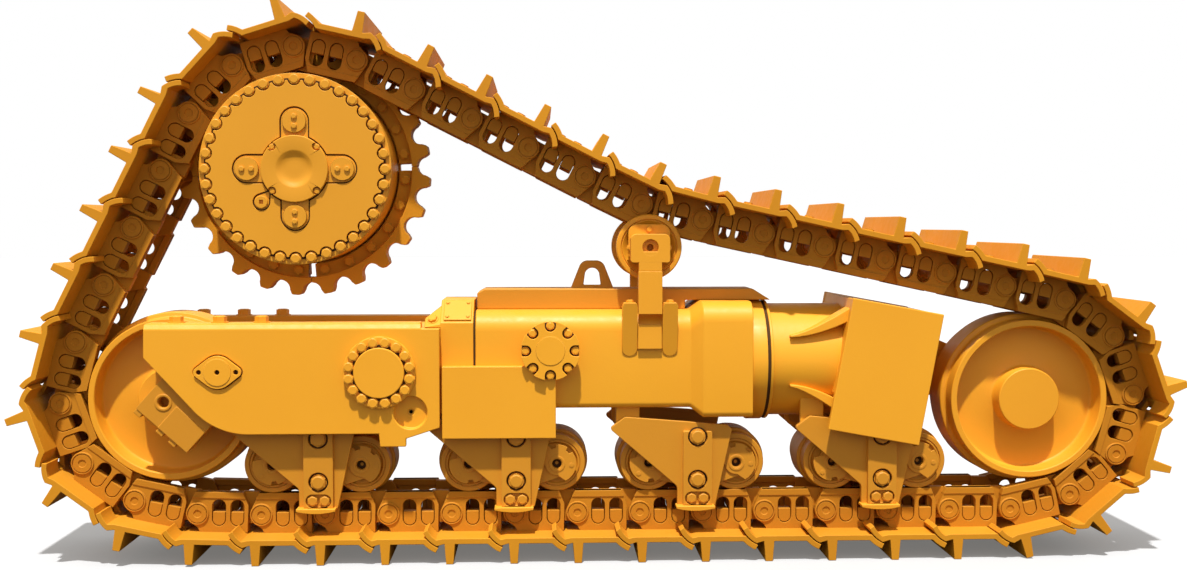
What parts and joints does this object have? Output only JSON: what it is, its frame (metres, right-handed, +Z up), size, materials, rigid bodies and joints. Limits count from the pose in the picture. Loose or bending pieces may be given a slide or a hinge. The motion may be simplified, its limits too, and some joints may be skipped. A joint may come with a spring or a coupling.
{
  "type": "crawler track group",
  "caption": "Elevated-sprocket crawler track group: toothed drive wheel, dished idlers, sprung roller bogies, telescoping frame and a closed track of cleated shoes.",
  "frame": {"origin": "on the ground under the middle of the bounding box", "axes": "+X forward along the ground run, from the drive-wheel end to the front idler; +Y inboard, across the track, away from the camera; +Z up"},
  "size_m": [5.8623, 0.77, 2.7787],
  "materials": {
    "yellow_paint": "satin orange-yellow enamel with a little dust on what faces up",
    "wheel_paint": "slightly deeper orange-yellow enamel",
    "bracket_paint": "orange-yellow enamel on brackets, cheeks and the spindle",
    "worn_steel": "bare steel polished by contact",
    "track_paint": "orange-yellow enamel over rough castings, dusty and worn at the edges"
  },
  "bodies": {
    "frame": {"rear_frame": "yellow_paint", "pivot_shaft": "worn_steel", "pivot_cap": "yellow_paint", "bearing_cover": "yellow_paint", "saddle_block": "yellow_paint", "side_cover": "yellow_paint", "trunnion_cap": "yellow_paint", "main_tube": "yellow_paint", "tube_collar": "yellow_paint", "recoil_cylinder": "worn_steel", "top_beam": "yellow_paint", "carrier_bracket": "bracket_paint", "rear_idler_carrier": "bracket_paint", "spindle": "bracket_paint", "track_01": "track_paint", "track_02": "track_paint", "track_03": "track_paint", "track_04": "track_paint", "track_05": "track_paint", "track_06": "track_paint", "track_07": "track_paint", "track_08": "track_paint", "track_09": "track_paint", "track_10": "track_paint", "track_11": "track_paint", "track_12": "track_paint", "track_13": "track_paint", "track_14": "track_paint", "track_15": "track_paint", "track_16": "track_paint"},
    "sprocket": {"drive_hub": "yellow_paint", "hub_cover": "yellow_paint", "hub_cap": "yellow_paint", "sprocket_segment_1": "wheel_paint", "sprocket_segment_2": "wheel_paint", "sprocket_segment_3": "wheel_paint", "sprocket_segment_4": "wheel_paint"},
    "rear_idler": {"rear_idler": "wheel_paint"},
    "front_slide": {"idler_yoke": "yellow_paint", "adjuster_rod": "worn_steel", "front_idler_shaft": "worn_steel"},
    "front_idler": {"front_idler": "wheel_paint"},
    "carrier_roller": {"carrier_roller": "wheel_paint"},
    "bogie_1": {"bogie_1": "yellow_paint"},
    "carriage_1": {"carriage_1": "bracket_paint"},
    "roller_1": {"roller_1": "wheel_paint"},
    "roller_2": {"roller_2": "wheel_paint"},
    "bogie_2": {"bogie_2": "yellow_paint"},
    "carriage_2": {"carriage_2": "bracket_paint"},
    "roller_3": {"roller_3": "wheel_paint"},
    "roller_4": {"roller_4": "wheel_paint"},
    "bogie_3": {"bogie_3": "yellow_paint"},
    "carriage_3": {"carriage_3": "bracket_paint"},
    "roller_5": {"roller_5": "wheel_paint"},
    "roller_6": {"roller_6": "wheel_paint"},
    "bogie_4": {"bogie_4": "yellow_paint"},
    "carriage_4": {"carriage_4": "bracket_paint"},
    "roller_7": {"roller_7": "wheel_paint"},
    "roller_8": {"roller_8": "wheel_paint"}
  },
  "joints": [
    {"name": "sprocket_turn", "type": "hinge", "parent": "frame", "child": "sprocket", "pos_m": [-1.519, 0, 1.95], "axis": [0, 1, 0], "continuous": true, "deforming": ["track_01", "track_02", "track_03", "track_04", "track_05", "track_06", "track_07", "track_08", "track_09", "track_10", "track_11", "track_12", "track_13", "track_14", "track_15", "track_16"]},
    {"name": "rear_idler_turn", "type": "hinge", "parent": "frame", "child": "rear_idler", "pos_m": [-2.178, 0, 0.806], "axis": [0, 1, 0], "continuous": true},
    {"name": "recoil_slide", "type": "slide", "parent": "frame", "child": "front_slide", "axis": [1, 0, 0], "range_m": [-0.08, 0], "stiffness_N_per_m": 1000000, "springref_m": 0.05},
    {"name": "front_idler_turn", "type": "hinge", "parent": "front_slide", "child": "front_idler", "pos_m": [2.17711, 0, 0.786], "axis": [0, 1, 0], "continuous": true},
    {"name": "carrier_roller_turn", "type": "hinge", "parent": "frame", "child": "carrier_roller", "pos_m": [0.218, 0, 1.56592], "axis": [0, 1, 0], "continuous": true},
    {"name": "bogie_1_swing", "type": "hinge", "parent": "frame", "child": "bogie_1", "pos_m": [-1.778, 0, 0.6528], "axis": [0, -1, 0], "range_deg": [0, 4]},
    {"name": "carriage_1_level", "type": "hinge", "parent": "bogie_1", "child": "carriage_1", "pos_m": [-1.423, 0, 0.3978], "axis": [0, -1, 0], "range_deg": [-4, 0]},
    {"name": "roller_1_turn", "type": "hinge", "parent": "carriage_1", "child": "roller_1", "pos_m": [-1.67, 0, 0.4743], "axis": [0, 1, 0], "continuous": true},
    {"name": "roller_2_turn", "type": "hinge", "parent": "carriage_1", "child": "roller_2", "pos_m": [-1.226, 0, 0.4743], "axis": [0, 1, 0], "continuous": true},
    {"name": "bogie_2_swing", "type": "hinge", "parent": "frame", "child": "bogie_2", "pos_m": [-0.797, 0, 0.6528], "axis": [0, -1, 0], "range_deg": [0, 4]},
    {"name": "carriage_2_level", "type": "hinge", "parent": "bogie_2", "child": "carriage_2", "pos_m": [-0.442, 0, 0.3978], "axis": [0, -1, 0], "range_deg": [-4, 0]},
    {"name": "roller_3_turn", "type": "hinge", "parent": "carriage_2", "child": "roller_3", "pos_m": [-0.689, 0, 0.4743], "axis": [0, 1, 0], "continuous": true},
    {"name": "roller_4_turn", "type": "hinge", "parent": "carriage_2", "child": "roller_4", "pos_m": [-0.245, 0, 0.4743], "axis": [0, 1, 0], "continuous": true},
    {"name": "bogie_3_swing", "type": "hinge", "parent": "frame", "child": "bogie_3", "pos_m": [0.1125, 0, 0.6528], "axis": [0, -1, 0], "range_deg": [0, 4]},
    {"name": "carriage_3_level", "type": "hinge", "parent": "bogie_3", "child": "carriage_3", "pos_m": [0.4675, 0, 0.3978], "axis": [0, -1, 0], "range_deg": [-4, 0]},
    {"name": "roller_5_turn", "type": "hinge", "parent": "carriage_3", "child": "roller_5", "pos_m": [0.2205, 0, 0.4743], "axis": [0, 1, 0], "continuous": true},
    {"name": "roller_6_turn", "type": "hinge", "parent": "carriage_3", "child": "roller_6", "pos_m": [0.6645, 0, 0.4743], "axis": [0, 1, 0], "continuous": true},
    {"name": "bogie_4_swing", "type": "hinge", "parent": "front_slide", "child": "bogie_4", "pos_m": [1.04811, 0, 0.6528], "axis": [0, -1, 0], "range_deg": [0, 4]},
    {"name": "carriage_4_level", "type": "hinge", "parent": "bogie_4", "child": "carriage_4", "pos_m": [1.40311, 0, 0.3978], "axis": [0, -1, 0], "range_deg": [-4, 0]},
    {"name": "roller_7_turn", "type": "hinge", "parent": "carriage_4", "child": "roller_7", "pos_m": [1.15611, 0, 0.4743], "axis": [0, 1, 0], "continuous": true},
    {"name": "roller_8_turn", "type": "hinge", "parent": "carriage_4", "child": "roller_8", "pos_m": [1.60011, 0, 0.4743], "axis": [0, 1, 0], "continuous": true}
  ],
  "couplings": [
    {"joint": "rear_idler_turn", "follows": "sprocket_turn", "ratio": 1.1411},
    {"joint": "front_idler_turn", "follows": "sprocket_turn", "ratio": 1.1411},
    {"joint": "carrier_roller_turn", "follows": "sprocket_turn", "ratio": 6.7482},
    {"joint": "carriage_1_level", "follows": "bogie_1_swing", "ratio": -1},
    {"joint": "roller_1_turn", "follows": "sprocket_turn", "ratio": 4.2471},
    {"joint": "roller_2_turn", "follows": "sprocket_turn", "ratio": 4.2471},
    {"joint": "carriage_2_level", "follows": "bogie_2_swing", "ratio": -1},
    {"joint": "roller_3_turn", "follows": "sprocket_turn", "ratio": 4.2471},
    {"joint": "roller_4_turn", "follows": "sprocket_turn", "ratio": 4.2471},
    {"joint": "carriage_3_level", "follows": "bogie_3_swing", "ratio": -1},
    {"joint": "roller_5_turn", "follows": "sprocket_turn", "ratio": 4.2471},
    {"joint": "roller_6_turn", "follows": "sprocket_turn", "ratio": 4.2471},
    {"joint": "carriage_4_level", "follows": "bogie_4_swing", "ratio": -1},
    {"joint": "roller_7_turn", "follows": "sprocket_turn", "ratio": 4.2471},
    {"joint": "roller_8_turn", "follows": "sprocket_turn", "ratio": 4.2471}
  ]
}
